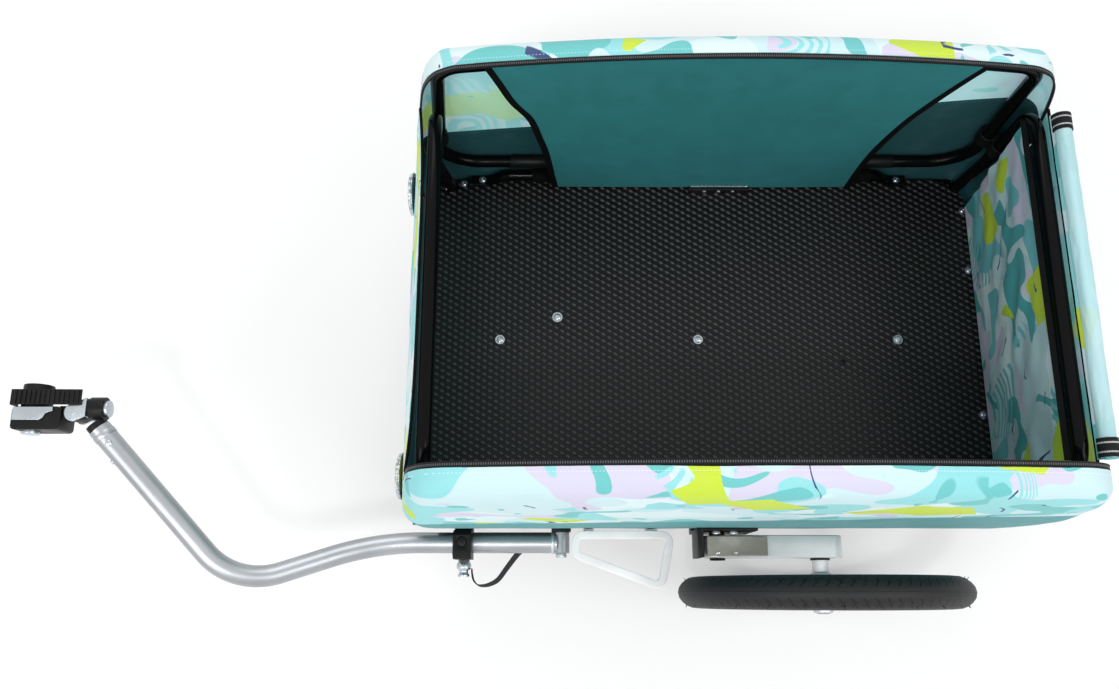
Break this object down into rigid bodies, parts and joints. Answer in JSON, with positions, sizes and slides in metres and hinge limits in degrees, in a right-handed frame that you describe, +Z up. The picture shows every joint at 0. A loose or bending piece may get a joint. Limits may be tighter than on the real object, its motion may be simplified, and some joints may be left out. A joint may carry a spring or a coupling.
{
  "type": "cargo bike trailer",
  "caption": "Two-wheeled bicycle trailer with an open-topped fabric tub on a tube frame, sprung trailing arms, a curved side drawbar and a swivelling hitch.",
  "frame": {"origin": "middle of the outline, on the ground under the tyres", "axes": "+X the way it travels, along its length; +Y its left side, where the drawbar is; +Z up"},
  "size_m": [1.3874, 0.782, 0.6053],
  "materials": {
    "black_tube": "gloss black painted aluminium tube",
    "black_plastic": "black moulded plastic, light grain",
    "floor": "black plastic sheet with raised dots",
    "satin_aluminium": "satin anodised",
    "zinc": "bright zinc plated",
    "printed_fabric": "coated woven fabric, printed in pale colours over a teal base",
    "teal_fabric": "woven fabric lining, black bound edges",
    "black_webbing": "black woven tape",
    "grey_webbing": "dark grey woven webbing",
    "tyre_rubber": "black rubber",
    "elastomer": "grey-brown elastomer block",
    "lens": "clear prismatic lens on a black base",
    "guard": "silver-white painted bar"
  },
  "bodies": {
    "tub": {"floor_panel": "floor", "frame_rail_left": "black_tube", "frame_rail_right": "black_tube", "side_rail_left": "black_tube", "side_rail_right": "black_tube", "side_hoop_left": "black_tube", "side_hoop_right": "black_tube", "cross_tube_front": "black_tube", "cross_tube_middle": "black_tube", "cross_tube_rear": "black_tube", "front_hoop": "black_tube", "rear_hoop": "black_tube", "hoop_clamp_front_left": "black_plastic", "hoop_clamp_front_right": "black_plastic", "hoop_clamp_rear_left": "black_plastic", "hoop_clamp_rear_right": "black_plastic", "suspension_bracket_left": "black_plastic", "suspension_bracket_right": "black_plastic", "side_cover_left": "printed_fabric", "side_cover_right": "printed_fabric", "front_cover": "printed_fabric", "rear_cover": "printed_fabric", "inner_rear_panel": "printed_fabric", "rolled_cover": "printed_fabric", "inner_side_panel_left": "teal_fabric", "inner_side_panel_right": "teal_fabric", "edge_zip_left": "black_webbing", "edge_zip_right": "black_webbing", "roll_strap_left": "black_webbing", "roll_strap_right": "black_webbing", "front_reflector_left": "lens", "front_reflector_right": "lens", "wheel_guard_left": "guard", "wheel_guard_right": "guard", "drawbar_pivot_bracket": "black_plastic", "drawbar_lock_bracket": "black_plastic", "drawbar_pivot_bolt": "zinc"},
    "drawbar": {"drawbar": "satin_aluminium", "hitch_fork": "black_plastic", "pin_lanyard": "grey_webbing"},
    "hitch_swivel": {"hitch_bracket": "zinc"},
    "hitch_head": {"hitch_head": "black_plastic", "hitch_cover_plate": "zinc", "hitch_strap": "black_webbing", "strap_buckle": "zinc"},
    "hitch_button": {"hitch_button": "zinc"},
    "lock_button": {"lock_button": "black_plastic"},
    "lock_pin": {"lock_pin": "zinc"},
    "swing_arm_left": {"swing_arm_left": "satin_aluminium", "suspension_block_left": "elastomer"},
    "wheel_left": {"tyre_left": "tyre_rubber", "rim_left": "satin_aluminium", "hub_and_spokes_left": "satin_aluminium"},
    "wheel_button_left": {"wheel_button_left": "black_plastic"},
    "swing_arm_right": {"swing_arm_right": "satin_aluminium", "suspension_block_right": "elastomer"},
    "wheel_right": {"tyre_right": "tyre_rubber", "rim_right": "satin_aluminium", "hub_and_spokes_right": "satin_aluminium"},
    "wheel_button_right": {"wheel_button_right": "black_plastic"}
  },
  "joints": [
    {"name": "suspension_left", "type": "hinge", "parent": "tub", "child": "swing_arm_left", "pos_m": [-0.26863, 0.3, 0.2], "axis": [0, 1, 0], "range_deg": [-3, 5], "stiffness_Nm_per_rad": 400, "springref_deg": -1.15},
    {"name": "wheel_spin_left", "type": "hinge", "parent": "swing_arm_left", "child": "wheel_left", "pos_m": [-0.41263, 0.362, 0.2], "axis": [0, 1, 0], "continuous": true},
    {"name": "wheel_release_left", "type": "slide", "parent": "swing_arm_left", "child": "wheel_button_left", "axis": [0, -1, 0], "range_m": [0, 0.004], "stiffness_N_per_m": 600, "springref_m": -0.002},
    {"name": "suspension_right", "type": "hinge", "parent": "tub", "child": "swing_arm_right", "pos_m": [-0.26863, -0.3, 0.2], "axis": [0, 1, 0], "range_deg": [-3, 5], "stiffness_Nm_per_rad": 400, "springref_deg": -1.15},
    {"name": "wheel_spin_right", "type": "hinge", "parent": "swing_arm_right", "child": "wheel_right", "pos_m": [-0.41263, -0.362, 0.2], "axis": [0, 1, 0], "continuous": true},
    {"name": "wheel_release_right", "type": "slide", "parent": "swing_arm_right", "child": "wheel_button_right", "axis": [0, 1, 0], "range_m": [0, 0.004], "stiffness_N_per_m": 600, "springref_m": -0.002},
    {"name": "drawbar_swing", "type": "hinge", "parent": "tub", "child": "drawbar", "pos_m": [-0.04863, 0.292, 0.155], "axis": [0, 1, 0], "range_deg": [0, 140]},
    {"name": "lock_pin_pull", "type": "slide", "parent": "tub", "child": "lock_pin", "axis": [0, 1, 0], "range_m": [0, 0.042]},
    {"name": "lock_button_press", "type": "slide", "parent": "tub", "child": "lock_button", "axis": [0, 0, -1], "range_m": [0, 0.003], "stiffness_N_per_m": 500, "springref_m": -0.002},
    {"name": "hitch_roll", "type": "hinge", "parent": "drawbar", "child": "hitch_swivel", "pos_m": [0.58737, 0.12, 0.292], "axis": [1, 0, 0], "range_deg": [-35, 35]},
    {"name": "hitch_yaw", "type": "hinge", "parent": "hitch_swivel", "child": "hitch_head", "pos_m": [0.60737, 0.127, 0.292], "axis": [0, 0, 1], "range_deg": [-35, 35]},
    {"name": "hitch_release", "type": "slide", "parent": "hitch_head", "child": "hitch_button", "axis": [0, -1, 0], "range_m": [0, 0.003], "stiffness_N_per_m": 800, "springref_m": -0.003}
  ]
}
